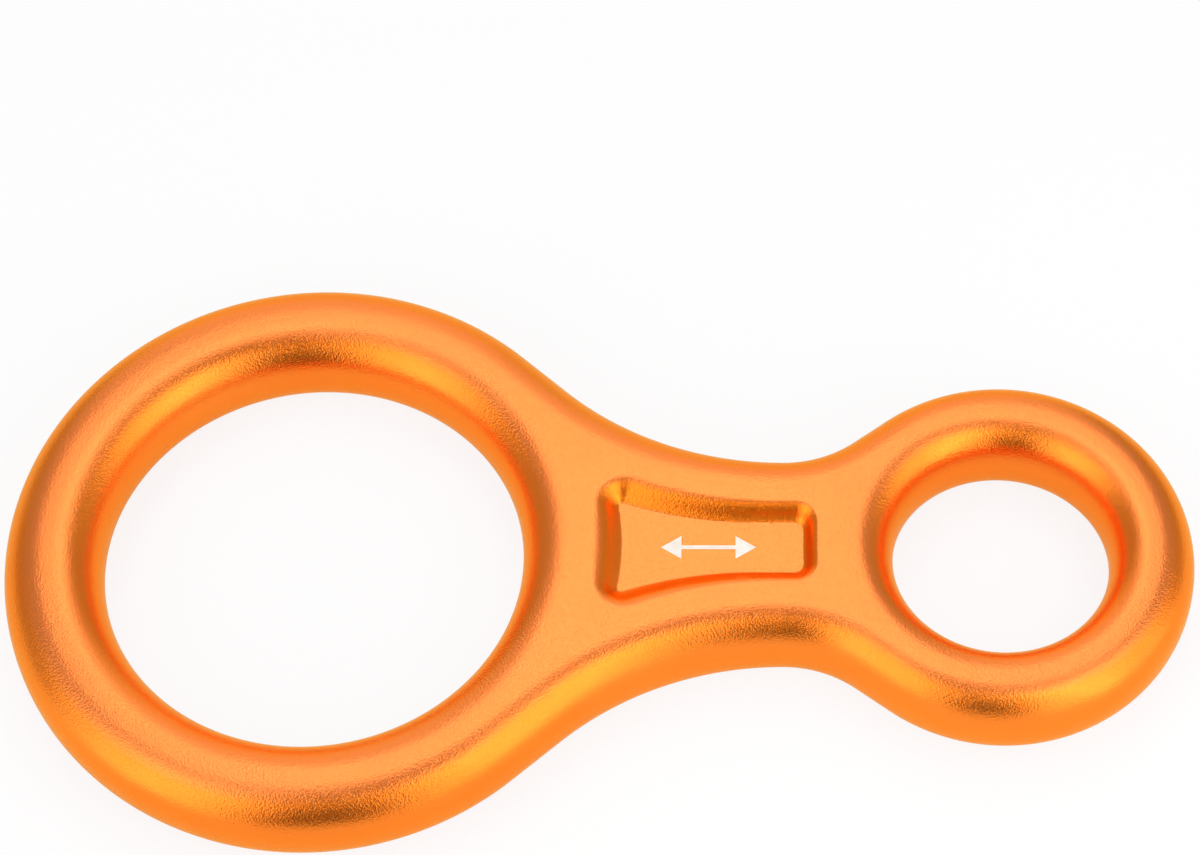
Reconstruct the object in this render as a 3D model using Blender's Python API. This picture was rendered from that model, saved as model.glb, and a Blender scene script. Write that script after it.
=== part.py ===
"""Figure eight descender: a rope ring and a carabiner ring joined by a waisted neck, in one forged plate.

The plate lies flat, with its length along X and its thickness along Z. The origin is on the
surface that it lies on, under the middle of its outline. All sizes are in metres.
"""

from math import atan2, ceil, cos, floor, hypot, pi, radians, sin, sqrt, tan

import bmesh
import bpy
from mathutils import Vector

# The two rings, in plan
EYE_SPACING = 0.0815
ROPE_EYE_DIAMETER = 0.0500
ROPE_BAR_WIDTH = 0.0118
CARABINER_EYE_DIAMETER = 0.0255
CARABINER_BAR_WIDTH = 0.0100

# The neck, in plan
NECK_WIDTH = 0.0252
CARABINER_SHOULDER_RADIUS = 0.0136
CARABINER_SHOULDER_RUN = 0.0050
ROPE_SHOULDER_RUN = 0.0075

# The plate's section
THICKNESS = 0.0120
CREST_FLAT_WIDTH = 0.0008
NECK_EDGE_WIDTH = 0.0048
EDGE_FULLNESS = 2.2

# The pocket sunk into each side of the neck
POCKET_ROPE_LAND = 0.0084
POCKET_CARABINER_LAND = 0.0088
POCKET_SIDE_LAND = 0.0010
POCKET_WAIST_WIDTH = 0.0110
POCKET_WIDE_WIDTH = 0.0223
POCKET_ROPE_CORNER_RADIUS = 0.0038
POCKET_CARABINER_CORNER_RADIUS = 0.0027
POCKET_DEPTH = 0.0018
POCKET_ROPE_END_SLOPE = 0.0029
POCKET_CARABINER_END_SLOPE = 0.0018
POCKET_LIP_SHARE = 0.6
POCKET_FOOT_LEAN = radians(25)
FLOOR_WAIST_WIDTH = 0.0067
FLOOR_WIDE_WIDTH = 0.0122
FLOOR_STRAIGHT_RUN = 0.0035
FLOOR_ROPE_END_BOW = 0.0005
FLOOR_ROPE_CORNER_RADIUS = 0.0005
FLOOR_CARABINER_CORNER_RADIUS = 0.0011

# Fineness of the mesh
ARC_STEP = radians(5)
EDGE_ROWS = 10
CORNER_STEPS = 4
POCKET_SIDE_STEPS = 8
POCKET_END_STEPS = 3
LIP_ROWS = 3
FOOT_ROWS = 2
SHARP_ANGLE = radians(30)

# Anodised aluminium
ANODISED_ORANGE = (1.0, 0.23, 0.012, 1.0)
ANODISED_ROUGHNESS = 0.42
ANODISED_METALLIC = 0.9

# Sizes that follow from the ones above
HALF_THICKNESS = THICKNESS / 2
ROPE_EYE_RADIUS = ROPE_EYE_DIAMETER / 2
CARABINER_EYE_RADIUS = CARABINER_EYE_DIAMETER / 2
ROPE_RING_RADIUS = ROPE_EYE_RADIUS + ROPE_BAR_WIDTH
CARABINER_RING_RADIUS = CARABINER_EYE_RADIUS + CARABINER_BAR_WIDTH
ROPE_EDGE_WIDTH = (ROPE_BAR_WIDTH - CREST_FLAT_WIDTH) / 2
CARABINER_EDGE_WIDTH = (CARABINER_BAR_WIDTH - CREST_FLAT_WIDTH) / 2
ROPE_EYE_X = (ROPE_RING_RADIUS - CARABINER_RING_RADIUS - EYE_SPACING) / 2
CARABINER_EYE_X = ROPE_EYE_X + EYE_SPACING


def remove_everything():
    """Clear the scene."""
    for thing in list(bpy.data.objects):
        bpy.data.objects.remove(thing, do_unlink=True)


def on_circle(centre, radius, angle):
    """Point at an angle on a circle in plan."""
    return Vector((centre.x + radius * cos(angle), centre.y + radius * sin(angle)))


def arc_angles(start, end):
    """Angles from start to end, through the whole multiples of ARC_STEP that lie between them."""
    low, high = min(start, end), max(start, end)
    margin = ARC_STEP / 3
    first = ceil((low + margin) / ARC_STEP)
    last = floor((high - margin) / ARC_STEP)
    angles = [low] + [index * ARC_STEP for index in range(first, last + 1)] + [high]
    return angles if start < end else angles[::-1]


class Neck:
    """Centres, radii and angles of the curves that join the two rings on the +Y side.

    From the carabiner ring a straight run leads into the carabiner shoulder, a hollow curve
    that ends at the neck's narrowest point. There the rope shoulder takes over, and another
    straight run leads it into the rope ring. The rope shoulder's radius is the one that fits.
    """

    def __init__(self):
        half_width = NECK_WIDTH / 2
        reach = hypot(CARABINER_RING_RADIUS + CARABINER_SHOULDER_RADIUS, CARABINER_SHOULDER_RUN)
        rise = half_width + CARABINER_SHOULDER_RADIUS
        self.waist_x = CARABINER_EYE_X - sqrt(reach**2 - rise**2)
        self.carabiner_centre = Vector((self.waist_x, rise))

        span = self.waist_x - ROPE_EYE_X
        spare = span**2 + half_width**2 - ROPE_RING_RADIUS**2 - ROPE_SHOULDER_RUN**2
        self.rope_radius = spare / (2 * (ROPE_RING_RADIUS - half_width))
        self.rope_centre = Vector((self.waist_x, half_width + self.rope_radius))

        to_rope = self.rope_centre - Vector((ROPE_EYE_X, 0))
        rope_turn = atan2(ROPE_SHOULDER_RUN, ROPE_RING_RADIUS + self.rope_radius)
        self.rope_angle = atan2(to_rope.y, to_rope.x) + rope_turn

        to_carabiner = self.carabiner_centre - Vector((CARABINER_EYE_X, 0))
        carabiner_turn = atan2(CARABINER_SHOULDER_RUN, CARABINER_RING_RADIUS + CARABINER_SHOULDER_RADIUS)
        self.carabiner_angle = atan2(to_carabiner.y, to_carabiner.x) - carabiner_turn


NECK = Neck()


def edge_width_at(x):
    """Width of the rounded edge in plan, which eases from one ring to the neck and on to the other."""
    if x < NECK.waist_x:
        start = ROPE_EYE_X + ROPE_RING_RADIUS * cos(NECK.rope_angle)
        ring_width = ROPE_EDGE_WIDTH
    else:
        start = CARABINER_EYE_X + CARABINER_RING_RADIUS * cos(NECK.carabiner_angle)
        ring_width = CARABINER_EDGE_WIDTH
    along = min(max((x - start) / (NECK.waist_x - start), 0), 1)
    eased = (1 - cos(pi * along)) / 2
    return ring_width + (NECK_EDGE_WIDTH - ring_width) * eased


def mirrored(half):
    """Close an outline that runs from the +X end to the -X end by its mirror image in Y."""
    lower = [
        (Vector((point.x, -point.y)), Vector((outward.x, -outward.y)), width)
        for point, outward, width in reversed(half[1:-1])
    ]
    return half + lower


def outer_outline():
    """The plate's outline as (point, outward direction, rounded edge's width)."""
    rope_eye = Vector((ROPE_EYE_X, 0))
    carabiner_eye = Vector((CARABINER_EYE_X, 0))
    half = []

    def add_arc(centre, radius, start, end, side):
        for angle in arc_angles(start, end):
            point = on_circle(centre, radius, angle)
            outward = Vector((cos(angle), sin(angle))) * side
            half.append((point, outward, edge_width_at(point.x)))

    add_arc(carabiner_eye, CARABINER_RING_RADIUS, 0, NECK.carabiner_angle, 1)
    add_arc(NECK.carabiner_centre, CARABINER_SHOULDER_RADIUS, NECK.carabiner_angle - pi, -pi / 2, -1)
    half.pop()
    add_arc(NECK.rope_centre, NECK.rope_radius, -pi / 2, NECK.rope_angle - pi, -1)
    add_arc(rope_eye, ROPE_RING_RADIUS, NECK.rope_angle, pi, 1)
    return mirrored(half)


def eye_outline(eye_x, radius, edge_width):
    """One eye's wall as (point, direction out of the metal, rounded edge's width)."""
    centre = Vector((eye_x, 0))
    count = round(2 * pi / ARC_STEP)
    outline = []
    for index in range(count):
        angle = 2 * pi * index / count
        inward = Vector((-cos(angle), -sin(angle)))
        outline.append((on_circle(centre, radius, angle), inward, edge_width))
    return outline


def add_loop(bm, points):
    """Add a closed row of vertices."""
    return [bm.verts.new(point) for point in points]


def bridge(bm, first, second):
    """Join two closed rows of vertices by a band of quads."""
    count = len(first)
    for index in range(count):
        following = (index + 1) % count
        bm.faces.new((first[index], first[following], second[following], second[index]))


def row_edges(bm, row):
    """Edges along a closed row of vertices."""
    return [bm.edges.get((row[index - 1], row[index])) for index in range(len(row))]


def rounded_edge(bm, outline):
    """Wrap the plate's rounded edge round an outline, and return its top and bottom rows."""
    power = 2 / EDGE_FULLNESS
    rows = []
    for step in range(EDGE_ROWS + 1):
        turn = pi * step / EDGE_ROWS
        swell = abs(sin(turn)) ** power
        rise = abs(cos(turn)) ** power
        z = HALF_THICKNESS + HALF_THICKNESS * (rise if step * 2 < EDGE_ROWS else -rise)
        points = [point - outward * width * (1 - swell) for point, outward, width in outline]
        rows.append(add_loop(bm, [Vector((point.x, point.y, z)) for point in points]))
    for upper, lower in zip(rows, rows[1:]):
        bridge(bm, upper, lower)
    return rows[0], rows[-1]


def pocket_outline(ends, turn_x, widths, corners, bow):
    """Outline that narrows from the rope ring's end in a hollow curve and runs straight from turn_x on.

    Ends, widths and corner radii are given for the rope ring's end first. The sides reach the
    first width where they meet the line of the rope end, which bows into the pocket by bow.
    """
    rope_end, carabiner_end = ends
    half_waist = widths[1] / 2
    carabiner_corner = min(corners[1], half_waist, (carabiner_end - rope_end) / 3)
    turn_x = min(turn_x, carabiner_end - carabiner_corner)
    flare = widths[0] / 2 - half_waist
    side_radius = ((turn_x - rope_end) ** 2 + flare**2) / (2 * flare)
    side_centre = Vector((turn_x, half_waist + side_radius))

    small_centre = Vector((carabiner_end - carabiner_corner, half_waist - carabiner_corner))
    upper = [
        on_circle(small_centre, carabiner_corner, pi / 2 * step / CORNER_STEPS)
        for step in range(CORNER_STEPS + 1)
    ]

    rope_corner = corners[0]
    corner_x = rope_end + rope_corner
    drop = sqrt((side_radius + rope_corner) ** 2 - (corner_x - turn_x) ** 2)
    large_centre = Vector((corner_x, side_centre.y - drop))
    to_side = side_centre - large_centre
    side_angle = atan2(to_side.y, to_side.x)
    sweep = side_angle - pi / 2
    upper += [
        on_circle(side_centre, side_radius, sweep * step / POCKET_SIDE_STEPS - pi / 2)
        for step in range(POCKET_SIDE_STEPS)
    ]
    upper += [
        on_circle(large_centre, rope_corner, side_angle + (pi - side_angle) * step / CORNER_STEPS)
        for step in range(CORNER_STEPS + 1)
    ]
    half_end = upper[-1].y
    for step in range(1, POCKET_END_STEPS + 1):
        left = 1 - step / POCKET_END_STEPS
        upper.append(Vector((rope_end + bow * (1 - left**2), half_end * left)))
    return upper + [Vector((point.x, -point.y)) for point in reversed(upper[:-1])]


def wall_profile(width):
    """Steps down a pocket's wall as (share of its width, share of its depth).

    The wall rounds over from the flat face, is steepest where the lip ends, and eases again
    until it meets the floor at the foot's lean.
    """
    lip = POCKET_LIP_SHARE
    foot = 1 - lip
    foot_slope = min(tan(POCKET_FOOT_LEAN) * width / POCKET_DEPTH, 0.8)
    steepest = 2 - foot_slope * foot
    steps = []
    for row in range(LIP_ROWS + 1):
        along = lip * row / LIP_ROWS
        steps.append((along, steepest * along**2 / (2 * lip)))
    for row in range(1, FOOT_ROWS + 1):
        eased = row / FOOT_ROWS
        fall = steepest * eased - (steepest - foot_slope) * eased**2 / 2
        steps.append((lip + foot * eased, steepest * lip / 2 + foot * fall))
    return steps


def flat_half_width(x):
    """Half the width of the neck's flat face, on the rope ring's side of the waist."""
    rise = sqrt(NECK.rope_radius**2 - (x - NECK.waist_x) ** 2)
    return NECK.rope_centre.y - rise - edge_width_at(x)


def add_pocket(bm, face_z, into):
    """Sink a pocket into the flat face at face_z, and return the row of vertices at its rim."""
    rim_start = ROPE_EYE_X + ROPE_EYE_RADIUS + POCKET_ROPE_LAND
    rim_end = CARABINER_EYE_X - CARABINER_EYE_RADIUS - POCKET_CARABINER_LAND
    room = 2 * (flat_half_width(rim_start) - POCKET_SIDE_LAND)
    rim = pocket_outline(
        (rim_start, rim_end),
        NECK.waist_x,
        (min(POCKET_WIDE_WIDTH, room), POCKET_WAIST_WIDTH),
        (POCKET_ROPE_CORNER_RADIUS, POCKET_CARABINER_CORNER_RADIUS),
        0,
    )
    floor_edge = pocket_outline(
        (rim_start + POCKET_ROPE_END_SLOPE, rim_end - POCKET_CARABINER_END_SLOPE),
        NECK.waist_x - FLOOR_STRAIGHT_RUN,
        (FLOOR_WIDE_WIDTH, FLOOR_WAIST_WIDTH),
        (FLOOR_ROPE_CORNER_RADIUS, FLOOR_CARABINER_CORNER_RADIUS),
        FLOOR_ROPE_END_BOW,
    )
    lines = []
    for outer, inner in zip(rim, floor_edge):
        line = []
        for along, fall in wall_profile((inner - outer).length):
            place = outer.lerp(inner, along)
            line.append(Vector((place.x, place.y, face_z + into * POCKET_DEPTH * fall)))
        lines.append(line)
    rows = [add_loop(bm, points) for points in zip(*lines)]
    for upper, lower in zip(rows, rows[1:]):
        bridge(bm, upper, lower)
    bmesh.ops.triangle_fill(bm, edges=row_edges(bm, rows[-1]), use_beauty=True)
    return rows[0]


def anodised_aluminium():
    """Orange anodised metal."""
    material = bpy.data.materials.new("anodised_aluminium")
    material.use_nodes = True
    shader = material.node_tree.nodes["Principled BSDF"]
    shader.inputs["Base Color"].default_value = ANODISED_ORANGE
    shader.inputs["Roughness"].default_value = ANODISED_ROUGHNESS
    shader.inputs["Metallic"].default_value = ANODISED_METALLIC
    material.diffuse_color = ANODISED_ORANGE
    return material


def descender_body():
    """The whole descender: rounded edges, two flat faces between them and a pocket in each face."""
    bm = bmesh.new()
    edges = [
        rounded_edge(bm, outer_outline()),
        rounded_edge(bm, eye_outline(ROPE_EYE_X, ROPE_EYE_RADIUS, ROPE_EDGE_WIDTH)),
        rounded_edge(bm, eye_outline(CARABINER_EYE_X, CARABINER_EYE_RADIUS, CARABINER_EDGE_WIDTH)),
    ]
    for side, (face_z, into) in enumerate(((THICKNESS, -1), (0, 1))):
        rims = [rows[side] for rows in edges]
        rims.append(add_pocket(bm, face_z, into))
        boundary = [edge for rim in rims for edge in row_edges(bm, rim)]
        bmesh.ops.triangle_fill(bm, edges=boundary, use_beauty=True)
    bmesh.ops.recalc_face_normals(bm, faces=bm.faces)

    mesh = bpy.data.meshes.new("descender_body")
    bm.to_mesh(mesh)
    bm.free()
    mesh.shade_smooth()
    mesh.set_sharp_from_angle(angle=SHARP_ANGLE)
    mesh.materials.append(anodised_aluminium())
    body = bpy.data.objects.new("descender_body", mesh)
    bpy.context.scene.collection.objects.link(body)
    return body


remove_everything()
descender_body()
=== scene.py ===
"""Figure eight descender: its forged body's fine surface, its load mark and the studio round it."""

from math import atan2, ceil, cos, floor, pi, radians, sin, sqrt, tan

import bmesh
import bpy
from bpy.props import FloatProperty, FloatVectorProperty, IntProperty, PointerProperty
from bpy.types import Operator, Panel, PropertyGroup
from mathutils import Matrix, Vector


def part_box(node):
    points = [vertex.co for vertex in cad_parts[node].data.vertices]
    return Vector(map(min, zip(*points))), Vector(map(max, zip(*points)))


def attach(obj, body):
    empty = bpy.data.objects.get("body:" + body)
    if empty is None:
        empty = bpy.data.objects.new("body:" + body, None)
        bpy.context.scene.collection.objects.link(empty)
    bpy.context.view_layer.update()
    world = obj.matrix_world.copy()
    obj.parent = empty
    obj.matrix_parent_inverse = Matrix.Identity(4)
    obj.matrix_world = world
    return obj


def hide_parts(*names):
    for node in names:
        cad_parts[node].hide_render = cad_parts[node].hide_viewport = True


bl_info = {
    "name": "Figure Eight Descender",
    "version": (1, 0, 0),
    "blender": (4, 5, 0),
    "location": "View3D > Sidebar > Descender",
    "description": "Builds an anodised figure eight descender and the studio that it lies in",
    "category": "Add Mesh",
}

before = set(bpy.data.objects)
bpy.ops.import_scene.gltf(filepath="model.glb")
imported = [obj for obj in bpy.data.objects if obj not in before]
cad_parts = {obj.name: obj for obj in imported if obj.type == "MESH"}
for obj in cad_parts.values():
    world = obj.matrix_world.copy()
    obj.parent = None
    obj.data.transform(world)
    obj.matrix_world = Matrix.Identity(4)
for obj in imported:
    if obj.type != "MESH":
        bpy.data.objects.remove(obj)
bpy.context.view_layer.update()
BODY_LOW, BODY_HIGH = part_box("descender_body")
BODY_SIZE = BODY_HIGH - BODY_LOW

# Name of the attribute that marks the vertices of the pockets' walls.
POCKET_WALL = "pocket_wall"
# Points of an outline that lie nearer than this are one.
SAME_POINT = 1e-6
# Points round a corner, along a side and along half an end of a pocket's outlines.
CORNER_STEPS = 16
SIDE_STEPS = 60
END_STEPS = 16
# Rows of faces down the lip and the foot of a pocket's wall.
LIP_ROWS = 12
FOOT_ROWS = 8
# Largest slope at the foot of a pocket's wall, as a share of the wall's mean slope.
STEEPEST_FOOT = 0.8

# Fine pits across one dimple of the blasting, and the dimple's depth beside theirs.
PITS_PER_DIMPLE = 2.1
DIMPLE_SHARE = 0.7
# Values of the clouds between which a surface goes from no take to full take.
TAKE_CLOUDS = (0.3, 0.7)
# Hairlines run along the borders of stretched cells. For them: each family's heading in radians
# and stretch, how far they stray in metres, cells in one spacing, half their width in cells, and
# the values of the clouds between which they fade in.
HAIRLINE_FAMILIES = ((0.5, 14.0), (2.1, 11.0))
HAIRLINE_STRAY = 0.004
HAIRLINE_CELLS = 0.25
HAIRLINE_WIDTH = 0.012
HAIRLINE_CLOUDS = (0.58, 0.66)
# Texture scale of the etching's parallel passes, and their height beside the grain's.
PASS_SCALE = 1900.0
PASS_SHARE = 0.5
# Cosines of the angle from the open front between which the room's light falls off.
FRONT_FALL = (0.05, 0.4)

# Each softbox's name, compass angle and tilt from straight up in degrees, distance, width, height,
# roll in degrees and radiance.
SOFTBOXES = (
    ("top", 92.0, 24.0, 0.75, 0.46, 0.42, 30.0, 1.5),
    ("back", 96.0, 69.0, 0.66, 0.66, 0.60, 0.0, 0.5),
    ("left", -154.0, 59.0, 0.56, 0.29, 1.10, 5.0, 1.5),
    ("front_left", -128.0, 80.0, 0.67, 0.37, 1.60, -3.0, 1.6),
    ("right", -22.0, 61.0, 0.28, 0.22, 0.50, 3.0, 1.35),
    ("front_right", -51.0, 82.0, 0.37, 0.26, 1.10, 3.0, 1.5),
)


def number(label, text, default, low, high, **kind):
    """A number that stays from low to high."""
    return FloatProperty(name=label, description=text, default=default, min=low, max=high, **kind)


def share(label, text, default):
    """A share from 0 to 1."""
    return number(label, text, default, 0.0, 1.0, subtype="FACTOR")


def degrees(label, text, default, low, high):
    """An angle, given here in degrees and kept in radians."""
    limits = radians(low), radians(high)
    return number(label, text, radians(default), *limits, subtype="ANGLE", unit="ROTATION")


def length(label, text, default):
    """A length in metres."""
    return FloatProperty(
        name=label,
        description=text,
        default=default,
        min=0.0,
        precision=5,
        subtype="DISTANCE",
        unit="LENGTH",
    )


def position(label, text, default):
    """A point of the studio, in metres."""
    return FloatVectorProperty(
        name=label, description=text, default=default, subtype="XYZ", unit="LENGTH"
    )


def colour(label, text, default):
    """A linear colour."""
    return FloatVectorProperty(
        name=label, description=text, default=default, size=3, min=0.0, max=1.0, subtype="COLOR"
    )


class DescenderBodySettings(PropertyGroup):
    """Plan and section of the forged body. The overall size comes from the frame."""

    rope_eye: length("Rope eye", "Diameter of the large eye", 0.0500)
    carabiner_eye: length("Carabiner eye", "Diameter of the small eye", 0.0255)
    carabiner_bar: length("Carabiner bar", "Width of the small ring's bar", 0.0100)
    neck_width: length("Neck width", "Width of the neck at its waist", 0.0252)
    shoulder_radius: length(
        "Shoulder", "Radius of the hollow between the neck and the small ring", 0.0136
    )
    carabiner_run: length("Small run", "Straight run from the small ring into its shoulder", 0.0050)
    rope_run: length("Large run", "Straight run from the large ring into the neck", 0.0075)
    crest_flat: length("Crest flat", "Width of the flat along the top of each ring", 0.0008)
    neck_edge: length("Neck edge", "Width of the rounded edge beside the neck's flat face", 0.0048)
    fullness: number(
        "Edge fullness", "How square the rounded edge is: 2 is an ellipse", 2.2, 1.5, 4.0
    )
    arc_step: degrees(
        "Arc step", "Angle between neighbouring vertices round an arc", 1.25, 0.5, 10
    )
    edge_rows: IntProperty(
        name="Edge rows",
        description="Bands of faces from crest to crest round the edge",
        default=48,
        min=8,
        max=96,
    )


class DescenderPocketSettings(PropertyGroup):
    """The pocket sunk into each face of the neck, whose floor is narrower than its rim."""

    rope_land: length("Large land", "Flat left between the large eye and the rim", 0.0084)
    carabiner_land: length("Small land", "Flat left between the small eye and the rim", 0.0088)
    waist_width: length("Waist width", "Width of the rim at the neck's waist", 0.0110)
    wide_width: length("Wide width", "Width of the rim at the large ring's end", 0.0223)
    rope_corner: length("Wide corners", "Radius of the rim's corners at the wide end", 0.0038)
    carabiner_corner: length(
        "Narrow corners", "Radius of the rim's corners at the narrow end", 0.0027
    )
    depth: length("Depth", "Depth of the floor below the flat face", 0.0018)
    rope_slope: length("Wide end wall", "Width of the wall at the large ring's end", 0.0029)
    carabiner_slope: length("Narrow end wall", "Width of the wall at the small ring's end", 0.0018)
    lip_share: share("Lip", "Share of the wall's width in which it rounds over", 0.6)
    foot_lean: degrees(
        "Foot lean", "How far the wall leans from level where it meets the floor", 25, 0, 90
    )
    floor_waist: length("Floor waist", "Width of the floor's straight end", 0.0067)
    floor_width: length("Floor width", "Width of the floor at the large ring's end", 0.0122)
    floor_straight: length(
        "Floor straight", "How far from the neck's waist the floor's sides turn straight", 0.0035
    )
    floor_bow: length("Floor bow", "How far the floor's wide end bows into the pocket", 0.0005)
    floor_rope_corner: length(
        "Floor wide corners", "Radius of the floor's corners at the wide end", 0.0005
    )
    floor_carabiner_corner: length(
        "Floor narrow corners", "Radius of the floor's corners at the narrow end", 0.0011
    )
    crease: length("Crease", "Width over which the floor turns up into the wall", 0.00012)


class DescenderMarkSettings(PropertyGroup):
    """The arrow etched on the pocket's floor, which shows the direction of load."""

    span: length("Span", "Length of the arrow from tip to tip", 0.0112)
    stroke: length("Stroke", "Width of the arrow's shaft", 0.00050)
    head_length: length("Head length", "Length of each arrow head", 0.0024)
    head_width: length("Head width", "Width of each arrow head", 0.0030)
    offset: length("Offset", "Distance from the pocket's wide end to the arrow's tail", 0.0080)
    burr: length("Burr", "Height of the etched oxide over the floor", 0.00002)
    tint: colour("Mark colour", "Oxide bared by the etching", (0.90, 0.86, 0.80))
    shade: colour("Mark shade", "Oxide where the etching went deeper", (0.80, 0.74, 0.66))
    roughness: share("Mark roughness", "Roughness of the bared oxide", 0.5)
    shade_roughness: share("Shade roughness", "Roughness where the etching went deeper", 0.62)
    patch_size: length("Mark patches", "Size of the patches that the etching took alike", 0.0012)
    grain_size: length("Mark grain", "Size of one dimple of the etched oxide", 0.00012)
    relief: length("Mark relief", "Height of the oxide's grain and passes", 0.000005)


class DescenderFinishSettings(PropertyGroup):
    """Blasted and anodised surface, with painted highlight on the faces that look up and painted shade
    on the pocket's walls.
    """

    dye: colour("Dye", "Colour of the anodised metal", (1.0, 0.214, 0.013))
    pale_dye: colour("Pale dye", "Colour where the dye took less", (1.0, 0.244, 0.021))
    # Painted highlight: a paler, peach orange on the faces that look up, where the top softbox is
    # mirrored.
    flat_painted_highlight: colour("Painted highlight", "Colour of the flats and the crests", (1.0, 0.254, 0.052))
    flat_start: share("Flat start", "How upright a surface faces where the painted highlight begins", 0.86)
    flat_full: share("Flat full", "How upright a surface faces where the painted highlight is full", 0.985)
    # Painted shade: the pocket's walls get an orange of their own, set to how dark and red the recess
    # looks.
    wall_painted_shade: colour("Wall painted shade", "Colour of the pocket's walls", (1.0, 0.226, 0.009))
    wall_roughness: share("Wall roughness", "Roughness of the pocket's walls", 0.26)
    glancing: colour("Glancing", "Tint of the metal at a glancing angle", (1.0, 0.84, 0.22))
    metal: share("Metal", "Share of metal sheen, the rest being dye in the oxide", 0.92)
    patch_size: length("Patch size", "Size of the patches in which the dye took alike", 0.016)
    roughness: share("Roughness", "Roughness of the blasted surface", 0.2)
    roughness_spread: share(
        "Roughness spread", "How far the roughness wanders from patch to patch", 0.05
    )
    rubbed: share("Rubbed", "How much smoother the surface is along a hairline", 0.06)
    seal: share("Seal", "Weight of the clear sealed layer", 0.18)
    seal_roughness: share("Seal roughness", "Roughness of the sealed layer", 0.15)
    seal_index: number("Seal index", "Refractive index of the sealed oxide", 1.5, 1.0, 2.5)
    grain_size: length("Grain size", "Size of one dimple of the blasting", 0.00029)
    grain_depth: length("Grain depth", "Depth of the dimples", 0.000030)


class DescenderStageSettings(PropertyGroup):
    """Floor, lights and camera."""

    floor_size: length("Floor size", "Side of the square floor", 6.0)
    floor_colour: colour("Floor colour", "Plain pale paper", (0.88, 0.88, 0.88))
    backdrop: share("Backdrop", "Share of plain white in the floor as the camera sees it", 0.85)
    mirrored: share(
        "Mirrored", "Share of plain white in the floor as the metal mirrors it", 0.45
    )
    room: share("Room light", "Level of the light from the sides and the back", 0.47)
    front: share("Front light", "Level of the light from the open front", 0.13)
    lens: number("Lens", "Focal length in millimetres", 122.77, 10.0, 400.0)
    eye: position("Camera", "Where the camera stands", (0.01881, -0.23098, 0.43336))
    target: position("Target", "Point of the floor that it looks at", (-0.00027, 0.02229, 0.0))
    roll: degrees("Roll", "Tilt of the camera about its line of sight", -3.716, -180, 180)


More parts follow.
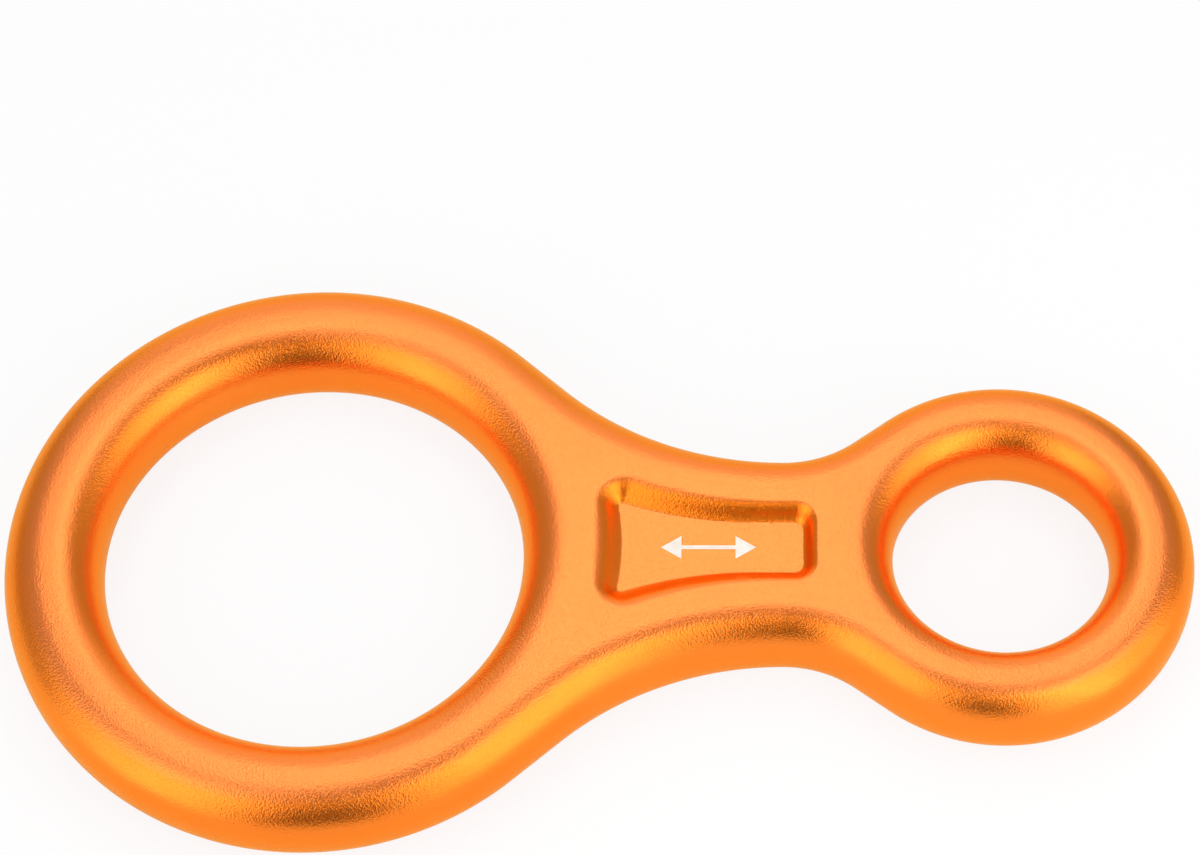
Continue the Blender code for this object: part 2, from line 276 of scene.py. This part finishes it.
class Plan:
    """The body's curves in plan, worked out from its settings and the frame's overall size."""

    def __init__(self, body):
        self.thickness = BODY_SIZE.z
        self.half_thickness = BODY_SIZE.z / 2
        self.fullness = body.fullness
        self.arc_step = body.arc_step
        self.rope_eye_radius = body.rope_eye / 2
        self.rope_ring_radius = BODY_SIZE.y / 2
        self.carabiner_eye_radius = body.carabiner_eye / 2
        self.carabiner_ring_radius = self.carabiner_eye_radius + body.carabiner_bar
        self.rope_eye_x = BODY_LOW.x + self.rope_ring_radius
        self.carabiner_eye_x = BODY_HIGH.x - self.carabiner_ring_radius
        self.rope_edge = (self.rope_ring_radius - self.rope_eye_radius - body.crest_flat) / 2
        self.carabiner_edge = (body.carabiner_bar - body.crest_flat) / 2
        self.neck_edge = body.neck_edge

        half_width = body.neck_width / 2
        self.shoulder_radius = body.shoulder_radius
        carabiner_reach = self.carabiner_ring_radius + self.shoulder_radius
        shoulder_y = half_width + self.shoulder_radius
        self.waist_x = self.carabiner_eye_x - sqrt(
            carabiner_reach**2 + body.carabiner_run**2 - shoulder_y**2
        )
        self.shoulder_centre = Vector((self.waist_x, shoulder_y))

        span = self.waist_x - self.rope_eye_x
        spare = span**2 + half_width**2 - self.rope_ring_radius**2 - body.rope_run**2
        self.hollow_radius = spare / (2 * (self.rope_ring_radius - half_width))
        self.hollow_centre = Vector((self.waist_x, half_width + self.hollow_radius))

        rope_turn = atan2(body.rope_run, self.rope_ring_radius + self.hollow_radius)
        self.rope_angle = atan2(self.hollow_centre.y, span) + rope_turn
        carabiner_turn = atan2(body.carabiner_run, carabiner_reach)
        self.carabiner_angle = atan2(shoulder_y, self.waist_x - self.carabiner_eye_x) - carabiner_turn

    def edge_width_at(self, x):
        """Width of the rounded edge in plan, easing from each ring to the neck."""
        if x < self.waist_x:
            start = self.rope_eye_x + self.rope_ring_radius * cos(self.rope_angle)
            ring_width = self.rope_edge
        else:
            start = self.carabiner_eye_x + self.carabiner_ring_radius * cos(self.carabiner_angle)
            ring_width = self.carabiner_edge
        along = min(max((x - start) / (self.waist_x - start), 0), 1)
        return ring_width + (self.neck_edge - ring_width) * (1 - cos(pi * along)) / 2

    def arc_angles(self, start, end):
        """Angles from start to end, through the whole multiples of the arc step between them."""
        low, high = min(start, end), max(start, end)
        margin = self.arc_step / 3
        first = ceil((low + margin) / self.arc_step)
        last = floor((high - margin) / self.arc_step)
        angles = [low] + [index * self.arc_step for index in range(first, last + 1)] + [high]
        return angles if start < end else angles[::-1]

    def outer_outline(self):
        """The outline as (point, outward direction, rounded edge's width), from the +X end round."""
        arcs = (
            (self.carabiner_eye_x, 0, self.carabiner_ring_radius, 0, self.carabiner_angle, 1),
            (*self.shoulder_centre, self.shoulder_radius, self.carabiner_angle - pi, -pi / 2, -1),
            (*self.hollow_centre, self.hollow_radius, -pi / 2, self.rope_angle - pi, -1),
            (self.rope_eye_x, 0, self.rope_ring_radius, self.rope_angle, pi, 1),
        )
        half = []
        for x, y, radius, start, end, side in arcs:
            for angle in self.arc_angles(start, end):
                point = on_circle(Vector((x, y)), radius, angle)
                if not half or (point - half[-1][0]).length > SAME_POINT:
                    outward = Vector((cos(angle), sin(angle))) * side
                    half.append((point, outward, self.edge_width_at(point.x)))
        lower = [(flip(point), flip(outward), width) for point, outward, width in reversed(half[1:-1])]
        return half + lower

    def eye_outline(self, eye_x, radius, edge_width):
        """One eye's wall as (point, direction out of the metal, rounded edge's width)."""
        count = round(2 * pi / self.arc_step)
        outline = []
        for index in range(count):
            angle = 2 * pi * index / count
            inward = Vector((-cos(angle), -sin(angle)))
            outline.append((on_circle(Vector((eye_x, 0)), radius, angle), inward, edge_width))
        return outline


def on_circle(centre, radius, angle):
    """Point at an angle on a circle in plan."""
    return Vector((centre.x + radius * cos(angle), centre.y + radius * sin(angle)))


def flip(point):
    """Mirror image of a plan vector across the long axis."""
    return Vector((point.x, -point.y))


def add_row(bm, points):
    """Add a closed row of vertices."""
    return [bm.verts.new(point) for point in points]


def bridge(bm, first, second):
    """Join two closed rows of vertices by a band of quads."""
    count = len(first)
    for index in range(count):
        following = (index + 1) % count
        bm.faces.new((first[index], first[following], second[following], second[index]))


def row_edges(bm, row):
    """Edges along a closed row of vertices."""
    return [bm.edges.get((row[index - 1], row[index])) for index in range(len(row))]


def section_point(width, height, lean, fullness):
    """Where a rounded edge leans by an angle from level, as shares (out, up) of its width and height."""
    power = fullness / (fullness - 1)
    out = (width * sin(lean)) ** power
    up = (height * abs(cos(lean))) ** power
    return (out / (out + up)) ** (1 / fullness), (up / (out + up)) ** (1 / fullness)


def rounded_edge(bm, plan, outline, row_count):
    """Wrap the rounded edge round an outline, and return its top and bottom rows."""
    rows = []
    for step in range(row_count + 1):
        lean = pi * step / row_count
        side = 1 if step * 2 < row_count else -1
        points = []
        for point, outward, width in outline:
            out, up = section_point(width, plan.half_thickness, lean, plan.fullness)
            place = point - outward * width * (1 - out)
            points.append(Vector((place.x, place.y, plan.half_thickness * (1 + side * up))))
        rows.append(add_row(bm, points))
    for upper, lower in zip(rows, rows[1:]):
        bridge(bm, upper, lower)
    return rows[0], rows[-1]


def pocket_outline(ends, turn_x, widths, corners, bow):
    """Outline that narrows from the large ring's end in a hollow curve and runs straight from turn_x on.

    Ends, widths and corners are given for the large ring's end first. The sides reach the first
    width where they meet the line of that end, which bows into the pocket by bow.
    """
    half_waist = widths[1] / 2
    flare = widths[0] / 2 - half_waist
    side_radius = ((turn_x - ends[0]) ** 2 + flare**2) / (2 * flare)
    side_centre = Vector((turn_x, half_waist + side_radius))
    small_centre = Vector((ends[1] - corners[1], half_waist - corners[1]))
    upper = [
        on_circle(small_centre, corners[1], pi / 2 * step / CORNER_STEPS)
        for step in range(CORNER_STEPS + 1)
    ]
    corner_x = ends[0] + corners[0]
    drop = sqrt((side_radius + corners[0]) ** 2 - (corner_x - turn_x) ** 2)
    large_centre = Vector((corner_x, side_centre.y - drop))
    to_side = side_centre - large_centre
    side_angle = atan2(to_side.y, to_side.x)
    sweep = side_angle - pi / 2
    upper += [
        on_circle(side_centre, side_radius, sweep * step / SIDE_STEPS - pi / 2)
        for step in range(SIDE_STEPS)
    ]
    upper += [
        on_circle(large_centre, corners[0], side_angle + (pi - side_angle) * step / CORNER_STEPS)
        for step in range(CORNER_STEPS + 1)
    ]
    half_end = upper[-1].y
    for step in range(1, END_STEPS + 1):
        left = 1 - step / END_STEPS
        upper.append(Vector((ends[0] + bow * (1 - left**2), half_end * left)))
    return upper + [flip(point) for point in reversed(upper[:-1])]


def wall_profile(width, pocket):
    """Steps down a pocket's wall as (share of its width, share of its depth): lip, then foot."""
    lip = pocket.lip_share
    foot = 1 - lip
    foot_slope = min(tan(pocket.foot_lean) * width / pocket.depth, STEEPEST_FOOT)
    steepest = 2 - foot_slope * foot
    steps = []
    for row in range(LIP_ROWS + 1):
        along = lip * row / LIP_ROWS
        steps.append((along, steepest * along**2 / (2 * lip)))
    for row in range(1, FOOT_ROWS + 1):
        eased = row / FOOT_ROWS
        fall = steepest * eased - (steepest - foot_slope) * eased**2 / 2
        steps.append((lip + foot * eased, steepest * lip / 2 + foot * fall))
    return steps


def pocket_ends(plan, pocket):
    """Where the pocket's rim ends along X, large ring's end first."""
    rope_end = plan.rope_eye_x + plan.rope_eye_radius + pocket.rope_land
    carabiner_end = plan.carabiner_eye_x - plan.carabiner_eye_radius - pocket.carabiner_land
    return rope_end, carabiner_end


def floor_outline(plan, pocket, inset):
    """The floor's edge, drawn in by an inset."""
    rope_end, carabiner_end = pocket_ends(plan, pocket)
    return pocket_outline(
        (rope_end + pocket.rope_slope + inset, carabiner_end - pocket.carabiner_slope - inset),
        plan.waist_x - pocket.floor_straight,
        (pocket.floor_width - 2 * inset, pocket.floor_waist - 2 * inset),
        (pocket.floor_rope_corner - inset, pocket.floor_carabiner_corner - inset),
        pocket.floor_bow,
    )


def add_pocket(bm, plan, pocket, face_z, into):
    """Sink a pocket into the flat face at face_z, and return the row of vertices at its rim."""
    rim = pocket_outline(
        pocket_ends(plan, pocket),
        plan.waist_x,
        (pocket.wide_width, pocket.waist_width),
        (pocket.rope_corner, pocket.carabiner_corner),
        0,
    )
    floor_z = face_z + into * pocket.depth
    lines = []
    for outer, inner in zip(rim, floor_outline(plan, pocket, 0)):
        line = []
        for along, fall in wall_profile((inner - outer).length, pocket):
            place = outer.lerp(inner, along)
            line.append(Vector((place.x, place.y, face_z + into * pocket.depth * fall)))
        lines.append(line)
    rows = [add_row(bm, points) for points in zip(*lines)]
    for row in rows[1:]:
        for vertex in row:
            vertex[bm.verts.layers.float[POCKET_WALL]] = 1
    rows.append(add_row(bm, [(x, y, floor_z) for x, y in floor_outline(plan, pocket, pocket.crease)]))
    for upper, lower in zip(rows, rows[1:]):
        bridge(bm, upper, lower)
    bmesh.ops.triangle_fill(bm, edges=row_edges(bm, rows[-1]), use_beauty=True)
    return rows[0]


def forged_body_mesh(plan, body, pocket):
    """The whole body: rounded edges, flat faces between them and a pocket in each face."""
    bm = bmesh.new()
    bm.verts.layers.float.new(POCKET_WALL)
    outlines = (
        plan.outer_outline(),
        plan.eye_outline(plan.rope_eye_x, plan.rope_eye_radius, plan.rope_edge),
        plan.eye_outline(plan.carabiner_eye_x, plan.carabiner_eye_radius, plan.carabiner_edge),
    )
    edges = [rounded_edge(bm, plan, outline, body.edge_rows) for outline in outlines]
    for side, (face_z, into) in enumerate(((plan.thickness, -1), (0, 1))):
        rims = [rows[side] for rows in edges]
        rims.append(add_pocket(bm, plan, pocket, face_z, into))
        boundary = [edge for rim in rims for edge in row_edges(bm, rim)]
        bmesh.ops.triangle_fill(bm, edges=boundary, use_beauty=True)
    bmesh.ops.recalc_face_normals(bm, faces=bm.faces)
    mesh = bpy.data.meshes.new("forged_body")
    bm.to_mesh(mesh)
    bm.free()
    mesh.shade_smooth()
    return mesh


def add_piece(name, mesh):
    """Put a mesh in the scene as a piece that rides on the body."""
    piece = bpy.data.objects.new(name, mesh)
    bpy.context.scene.collection.objects.link(piece)
    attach(piece, "root")
    return piece


def mark_mesh(plan, pocket, mark):
    """The two-headed arrow, a thin plate of raised oxide on the upper pocket's floor."""
    rope_end, _ = pocket_ends(plan, pocket)
    half_span, half_stroke, half_head = mark.span / 2, mark.stroke / 2, mark.head_width / 2
    neck = half_span - mark.head_length
    half = [(half_span, 0), (neck, half_head), (neck, half_stroke)]
    upper = half + [(-x, y) for x, y in reversed(half)]
    outline = upper + [(x, -y) for x, y in reversed(upper[1:-1])]
    middle_x = rope_end + mark.offset + half_span
    floor_z = plan.thickness - pocket.depth

    bm = bmesh.new()
    rows = []
    for inset, z in ((0, floor_z - mark.burr), (0, floor_z), (mark.burr, floor_z + mark.burr)):
        scale_x, scale_y = 1 - inset / half_span, 1 - inset / half_head
        rows.append(add_row(bm, [(middle_x + x * scale_x, y * scale_y, z) for x, y in outline]))
    for lower, higher in zip(rows, rows[1:]):
        bridge(bm, lower, higher)
    for row in (rows[0], rows[-1]):
        bmesh.ops.triangle_fill(bm, edges=row_edges(bm, row), use_beauty=True)
    bmesh.ops.recalc_face_normals(bm, faces=bm.faces)
    mesh = bpy.data.meshes.new("load_arrow")
    bm.to_mesh(mesh)
    bm.free()
    return mesh


class Wiring:
    """A node tree with short calls to add and link its nodes."""

    def __init__(self, tree):
        self.tree = tree

    def add(self, kind, settings=None, **inputs):
        """Add a node. Each input is a plain value or another node's output."""
        node = self.tree.nodes.new(kind)
        for name, value in (settings or {}).items():
            setattr(node, name, value)
        for name, value in inputs.items():
            self.feed(node.inputs[self.socket_key(name)], value)
        return node

    def socket_key(self, name):
        """Inputs that share a name, such as a Math node's two values, are told apart by number."""
        return int(name[1:]) if name[0] == "_" else name.replace("_", " ")

    def feed(self, socket, value):
        """Link an output to a socket, or set its plain value."""
        if isinstance(value, bpy.types.NodeSocket):
            self.tree.links.new(value, socket)
        else:
            socket.default_value = value

    def math(self, operation, first, second):
        """Work out one value from two."""
        return self.add("ShaderNodeMath", {"operation": operation}, _0=first, _1=second).outputs[0]

    def fit(self, value, low, high, to_low=0.0, to_high=1.0):
        """Stretch a value from one range to another, and clamp it there."""
        node = self.add("ShaderNodeMapRange", _0=value, _1=low, _2=high, _3=to_low, _4=to_high)
        return node.outputs[0]

    def blend(self, share_of_second, first, second):
        """Mix two colours."""
        inputs = {"_0": share_of_second, "_6": first, "_7": second}
        return self.add("ShaderNodeMix", {"data_type": "RGBA"}, **inputs).outputs[2]


def new_group(name, inputs, outputs):
    """Start a node group with float inputs and outputs and a place on the surface."""
    tree = bpy.data.node_groups.new(name, "ShaderNodeTree")
    tree.interface.new_socket("Place", in_out="INPUT", socket_type="NodeSocketVector")
    for label, value in inputs:
        socket = tree.interface.new_socket(label, in_out="INPUT", socket_type="NodeSocketFloat")
        socket.default_value = value
    for label in outputs:
        tree.interface.new_socket(label, in_out="OUTPUT", socket_type="NodeSocketFloat")
    wiring = Wiring(tree)
    return wiring, wiring.add("NodeGroupInput").outputs, wiring.add("NodeGroupOutput").inputs


def blasted_grain():
    """Node group: the close dimples that blasting leaves, with fine pits, as a height."""
    if "Blasted Grain" in bpy.data.node_groups:
        return bpy.data.node_groups["Blasted Grain"]
    wiring, given, result = new_group("Blasted Grain", [("Dimple Size", 0.0002)], ["Height"])
    density = wiring.math("DIVIDE", 1.0, given["Dimple Size"])
    pit_density = wiring.math("MULTIPLY", density, PITS_PER_DIMPLE)
    dimples = wiring.add(
        "ShaderNodeTexVoronoi", {"feature": "F1"}, Vector=given["Place"], Scale=density
    )
    pits = wiring.add(
        "ShaderNodeTexNoise", Vector=given["Place"], Scale=pit_density, Detail=1.0, Roughness=0.5
    )
    deep = wiring.math("MULTIPLY", dimples.outputs["Distance"], DIMPLE_SHARE)
    wiring.feed(result["Height"], wiring.math("ADD", deep, pits.outputs["Fac"]))
    return wiring.tree


def uneven_take():
    """Node group: broad soft patches in which the surface took its treatment more or less."""
    if "Uneven Take" in bpy.data.node_groups:
        return bpy.data.node_groups["Uneven Take"]
    wiring, given, result = new_group("Uneven Take", [("Patch Size", 0.016)], ["Take"])
    density = wiring.math("DIVIDE", 1.0, given["Patch Size"])
    clouds = wiring.add(
        "ShaderNodeTexNoise", Vector=given["Place"], Scale=density, Detail=5.0, Roughness=0.55
    )
    wiring.feed(result["Take"], wiring.fit(clouds.outputs["Fac"], *TAKE_CLOUDS))
    return wiring.tree


def handling_marks():
    """Node group: sparse hairlines from handling, as a mask."""
    if "Handling Marks" in bpy.data.node_groups:
        return bpy.data.node_groups["Handling Marks"]
    wiring, given, result = new_group("Handling Marks", [("Spacing", 0.004)], ["Hairlines"])
    density = wiring.math("DIVIDE", 1.0, given["Spacing"])
    warp = wiring.add("ShaderNodeTexNoise", Vector=given["Place"], Scale=60.0, Detail=1.0)
    bend = wiring.add(
        "ShaderNodeVectorMath",
        {"operation": "SCALE"},
        _0=warp.outputs["Color"],
        Scale=HAIRLINE_STRAY,
    )
    place = wiring.add(
        "ShaderNodeVectorMath", {"operation": "ADD"}, _0=given["Place"], _1=bend.outputs[0]
    )
    lines = None
    for heading, stretch in HAIRLINE_FAMILIES:
        turned = wiring.add(
            "ShaderNodeMapping",
            Vector=place.outputs[0],
            Rotation=(0.0, 0.0, heading),
            Scale=(stretch, 1.0, 1.0),
        )
        cells = wiring.add(
            "ShaderNodeTexVoronoi",
            {"feature": "DISTANCE_TO_EDGE"},
            Vector=turned.outputs[0],
            Scale=wiring.math("MULTIPLY", density, HAIRLINE_CELLS),
        )
        line = wiring.fit(cells.outputs["Distance"], 0.0, HAIRLINE_WIDTH, 1.0, 0.0)
        lines = line if lines is None else wiring.math("MAXIMUM", lines, line)
    gaps = wiring.add("ShaderNodeTexNoise", Vector=given["Place"], Scale=density, Detail=1.0)
    seen = wiring.fit(gaps.outputs["Fac"], *HAIRLINE_CLOUDS)
    wiring.feed(result["Hairlines"], wiring.math("MULTIPLY", lines, seen))
    return wiring.tree


def new_material(name):
    """Start a material and return it with its wiring, its shader and its place on the surface."""
    material = bpy.data.materials.new(name)
    material.use_nodes = True
    wiring = Wiring(material.node_tree)
    place = wiring.add("ShaderNodeTexCoord").outputs["Object"]
    return material, wiring, material.node_tree.nodes["Principled BSDF"], place


def add_group(wiring, tree, **inputs):
    """Place a node group and return its first output."""
    return wiring.add("ShaderNodeGroup", {"node_tree": tree}, **inputs).outputs[0]


def set_shader(wiring, shader, **inputs):
    """Set or link the sockets of a Principled BSDF."""
    for name, value in inputs.items():
        wiring.feed(shader.inputs[name.replace("_", " ")], value)


def anodised_metal(finish):
    """Aluminium, blasted to a fine grain, dyed orange and sealed, with painted highlight on the faces
    that look up and painted shade on the pocket's walls.
    """
    material, wiring, shader, place = new_material("anodised_aluminium")
    take = add_group(wiring, uneven_take(), Place=place, Patch_Size=finish.patch_size)
    marks = add_group(wiring, handling_marks(), Place=place)
    grain = add_group(wiring, blasted_grain(), Place=place, Dimple_Size=finish.grain_size)
    roughest = finish.roughness + finish.roughness_spread
    rough = wiring.fit(take, 0.0, 1.0, finish.roughness, roughest)
    rubbed = wiring.math("MULTIPLY", marks, finish.rubbed)
    bump = wiring.add("ShaderNodeBump", Strength=1.0, Distance=finish.grain_depth, Height=grain)
    # Painted highlight: faces that look nearly straight up, the flats and the ring crests, are painted a
    # paler peach where the top softbox is mirrored.
    facing = wiring.add("ShaderNodeTexCoord").outputs["Normal"]
    lean = wiring.add("ShaderNodeSeparateXYZ", Vector=facing)
    upright = wiring.add("ShaderNodeMath", {"operation": "ABSOLUTE"}, _0=lean.outputs["Z"])
    flat = wiring.fit(upright.outputs[0], finish.flat_start, finish.flat_full)
    side = wiring.blend(take, (*finish.dye, 1), (*finish.pale_dye, 1))
    # Painted shade: the pocket's walls are painted their own orange, set to how dark and red the recess
    # looks.
    walls = wiring.add("ShaderNodeAttribute", {"attribute_name": POCKET_WALL}).outputs["Fac"]
    rough = wiring.fit(walls, 0.0, 1.0, rough, finish.wall_roughness)
    side = wiring.blend(walls, side, (*finish.wall_painted_shade, 1))
    set_shader(
        wiring,
        shader,
        Base_Color=wiring.blend(flat, side, (*finish.flat_painted_highlight, 1)),
        Specular_Tint=(*finish.glancing, 1),
        Metallic=finish.metal,
        Roughness=wiring.math("SUBTRACT", rough, rubbed),
        Coat_Weight=finish.seal,
        Coat_Roughness=finish.seal_roughness,
        Coat_IOR=finish.seal_index,
        Coat_Normal=bump.outputs[0],
        Normal=bump.outputs[0],
    )
    return material


def etched_oxide(mark):
    """Pale oxide bared by etching, in close parallel passes."""
    material, wiring, shader, place = new_material("etched_oxide")
    take = add_group(wiring, uneven_take(), Place=place, Patch_Size=mark.patch_size)
    grain = add_group(wiring, blasted_grain(), Place=place, Dimple_Size=mark.grain_size)
    passes = wiring.add(
        "ShaderNodeTexWave", {"bands_direction": "Y"}, Vector=place, Scale=PASS_SCALE, Distortion=0.4
    )
    height = wiring.math("ADD", grain, wiring.math("MULTIPLY", passes.outputs["Fac"], PASS_SHARE))
    bump = wiring.add("ShaderNodeBump", Strength=1.0, Distance=mark.relief, Height=height)
    set_shader(
        wiring,
        shader,
        Base_Color=wiring.blend(take, (*mark.shade, 1), (*mark.tint, 1)),
        Roughness=wiring.fit(take, 0.0, 1.0, mark.shade_roughness, mark.roughness),
        Normal=bump.outputs[0],
    )
    return material


def floor_paper(stage):
    """Pale paper, which the camera and the metal see as nearly plain white with the shadow on it."""
    material, wiring, shader, place = new_material("floor_paper")
    fibres = wiring.add("ShaderNodeTexNoise", Vector=place, Scale=900.0, Detail=3.0)
    bump = wiring.add("ShaderNodeBump", Strength=0.2, Distance=0.0001, Height=fibres.outputs["Fac"])
    set_shader(
        wiring,
        shader,
        Base_Color=(*stage.floor_colour, 1),
        Roughness=0.4,
        Normal=bump.outputs[0],
    )
    rays = wiring.add("ShaderNodeLightPath").outputs
    direct = wiring.math("MAXIMUM", rays["Is Camera Ray"], rays["Is Transmission Ray"])
    direct = wiring.math("MULTIPLY", direct, stage.backdrop)
    mirrored = wiring.math("MULTIPLY", rays["Is Glossy Ray"], stage.mirrored)
    white = wiring.add("ShaderNodeEmission", Strength=1.0)
    mix = wiring.add(
        "ShaderNodeMixShader",
        _0=wiring.math("MAXIMUM", direct, mirrored),
        _1=shader.outputs[0],
        _2=white.outputs[0],
    )
    wiring.feed(wiring.tree.nodes["Material Output"].inputs["Surface"], mix.outputs[0])
    return material


class DESCENDER_OT_forge_body(Operator):
    """Build the forged body with its two rings, waisted neck and pockets"""

    bl_idname = "descender.forge_body"
    bl_label = "Forge Body"

    def execute(self, context):
        """Build the body and let it stand for the plain one."""
        body = context.scene.descender_body
        plan = Plan(body)
        mesh = forged_body_mesh(plan, body, context.scene.descender_pocket)
        mesh.materials.append(anodised_metal(context.scene.descender_finish))
        piece = add_piece("forged_body", mesh)
        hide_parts("descender_body")
        return {"FINISHED"}


class DESCENDER_OT_etch_mark(Operator):
    """Etch the load arrow on the floor of the upper pocket"""

    bl_idname = "descender.etch_mark"
    bl_label = "Etch Mark"

    def execute(self, context):
        """Build the arrow."""
        scene = context.scene
        mesh = mark_mesh(Plan(scene.descender_body), scene.descender_pocket, scene.descender_mark)
        mesh.materials.append(etched_oxide(scene.descender_mark))
        add_piece("load_arrow", mesh)
        return {"FINISHED"}


class DESCENDER_OT_set_stage(Operator):
    """Lay the floor, hang the lights and place the camera"""

    bl_idname = "descender.set_stage"
    bl_label = "Set Stage"

    def execute(self, context):
        """Build everything that isn't part of the descender."""
        scene, stage = context.scene, context.scene.descender_stage
        lay_floor(scene, stage)
        for softbox in SOFTBOXES:
            hang_softbox(scene, *softbox)
        light_room(scene, stage)
        place_camera(scene, stage)
        scene.view_settings.view_transform = "Standard"
        return {"FINISHED"}


def lay_floor(scene, stage):
    """One wide sheet of pale paper."""
    bm = bmesh.new()
    bmesh.ops.create_grid(bm, x_segments=1, y_segments=1, size=stage.floor_size / 2)
    mesh = bpy.data.meshes.new("studio_floor")
    bm.to_mesh(mesh)
    bm.free()
    mesh.materials.append(floor_paper(stage))
    ground = bpy.data.objects.new("studio_floor", mesh)
    scene.collection.objects.link(ground)


def hang_softbox(scene, name, compass, tilt, distance, width, height, roll, radiance):
    """An evenly bright panel that faces the descender and stays out of the camera's sight."""
    data = bpy.data.lights.new("softbox_" + name, "AREA")
    data.shape = "RECTANGLE"
    data.size = width
    data.size_y = height
    data.energy = radiance * width * height * pi
    lean, heading = radians(tilt), radians(compass)
    way = Vector((sin(lean) * cos(heading), sin(lean) * sin(heading), cos(lean)))
    turn = way.to_track_quat("Z", "Y").to_matrix() @ Matrix.Rotation(radians(roll), 3, "Z")
    panel = bpy.data.objects.new("softbox_" + name, data)
    panel.matrix_world = Matrix.Translation(way * distance) @ turn.to_4x4()
    panel.visible_camera = False
    scene.collection.objects.link(panel)


def light_room(scene, stage):
    """Even light from all round, which falls off towards the open front."""
    scene.world = bpy.data.worlds.new("studio_room")
    scene.world.use_nodes = True
    wiring = Wiring(scene.world.node_tree)
    way = wiring.add("ShaderNodeTexCoord").outputs["Generated"]
    open_front = (0.0, -1.0, 0.0)
    ahead = wiring.add("ShaderNodeVectorMath", {"operation": "DOT_PRODUCT"}, _0=way, _1=open_front)
    level = wiring.fit(ahead.outputs["Value"], *FRONT_FALL, stage.room, stage.front)
    background = scene.world.node_tree.nodes["Background"]
    background.inputs["Color"].default_value = (1, 1, 1, 1)
    wiring.feed(background.inputs["Strength"], level)


def place_camera(scene, stage):
    """A camera at the photograph's viewing angle."""
    data = bpy.data.cameras.new("studio_camera")
    data.lens = stage.lens
    camera = bpy.data.objects.new("studio_camera", data)
    sight = Vector(stage.target) - Vector(stage.eye)
    turn = sight.to_track_quat("-Z", "Y").to_matrix() @ Matrix.Rotation(stage.roll, 3, "Z")
    camera.matrix_world = Matrix.Translation(stage.eye) @ turn.to_4x4()
    scene.collection.objects.link(camera)
    scene.camera = camera


class DESCENDER_PT_panel(Panel):
    """Sidebar panel with the settings and the steps that build the scene"""

    bl_idname = "DESCENDER_PT_panel"
    bl_label = "Figure Eight Descender"
    bl_space_type = "VIEW_3D"
    bl_region_type = "UI"
    bl_category = "Descender"

    def draw(self, context):
        """List each step with the settings that it uses."""
        for operator, groups in STEPS:
            box = self.layout.box()
            box.operator(operator)
            for group in groups:
                settings = getattr(context.scene, group)
                for name in settings.bl_rna.properties.keys():
                    if name not in ("rna_type", "name"):
                        box.prop(settings, name)


STEPS = (
    ("descender.forge_body", ("descender_body", "descender_pocket", "descender_finish")),
    ("descender.etch_mark", ("descender_mark",)),
    ("descender.set_stage", ("descender_stage",)),
)

SETTINGS = {
    "descender_body": DescenderBodySettings,
    "descender_pocket": DescenderPocketSettings,
    "descender_mark": DescenderMarkSettings,
    "descender_finish": DescenderFinishSettings,
    "descender_stage": DescenderStageSettings,
}

CLASSES = (
    *SETTINGS.values(),
    DESCENDER_OT_forge_body,
    DESCENDER_OT_etch_mark,
    DESCENDER_OT_set_stage,
    DESCENDER_PT_panel,
)


def register():
    """Register the classes and hang the settings on the scene."""
    for cls in CLASSES:
        bpy.utils.register_class(cls)
    for name, group in SETTINGS.items():
        setattr(bpy.types.Scene, name, PointerProperty(type=group))


def unregister():
    """Undo register."""
    for name in SETTINGS:
        delattr(bpy.types.Scene, name)
    for cls in reversed(CLASSES):
        bpy.utils.unregister_class(cls)


def main():
    """Build the whole scene."""
    register()
    bpy.ops.descender.forge_body()
    bpy.ops.descender.etch_mark()
    bpy.ops.descender.set_stage()


if __name__ == "__main__":
    main()
